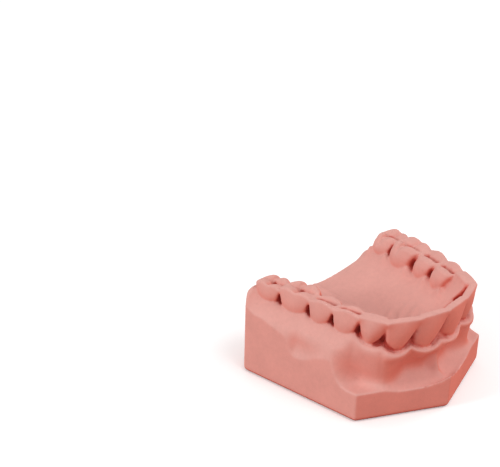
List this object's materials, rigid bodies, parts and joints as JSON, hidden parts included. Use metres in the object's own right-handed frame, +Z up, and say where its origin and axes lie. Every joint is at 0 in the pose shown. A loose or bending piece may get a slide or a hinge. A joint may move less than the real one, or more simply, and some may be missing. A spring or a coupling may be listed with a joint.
{
  "type": "dental study cast",
  "caption": "Upper dental study cast in pink gypsum stone: teeth, gums, palate and front groove on a flat base with seven ground sides and a pointed front.",
  "frame": {"origin": "the middle of the underside, on the plane the cast stands on", "axes": "+X towards the patient's right across the arch, +Y towards the trimmed back (the front teeth face -Y), +Z up, from the base to the teeth"},
  "size_m": [0.0614, 0.0524, 0.029],
  "materials": {
    "stone": "matte"
  },
  "bodies": {
    "root": {"base": "stone", "gum_and_palate": "stone", "upper_right_central_incisor": "stone", "upper_right_lateral_incisor": "stone", "upper_right_canine": "stone", "upper_right_first_premolar": "stone", "upper_right_second_premolar": "stone", "upper_right_first_molar": "stone", "upper_right_second_molar": "stone", "upper_left_central_incisor": "stone", "upper_left_lateral_incisor": "stone", "upper_left_canine": "stone", "upper_left_first_premolar": "stone", "upper_left_second_premolar": "stone", "upper_left_first_molar": "stone", "upper_left_second_molar": "stone"}
  },
  "joints": []
}
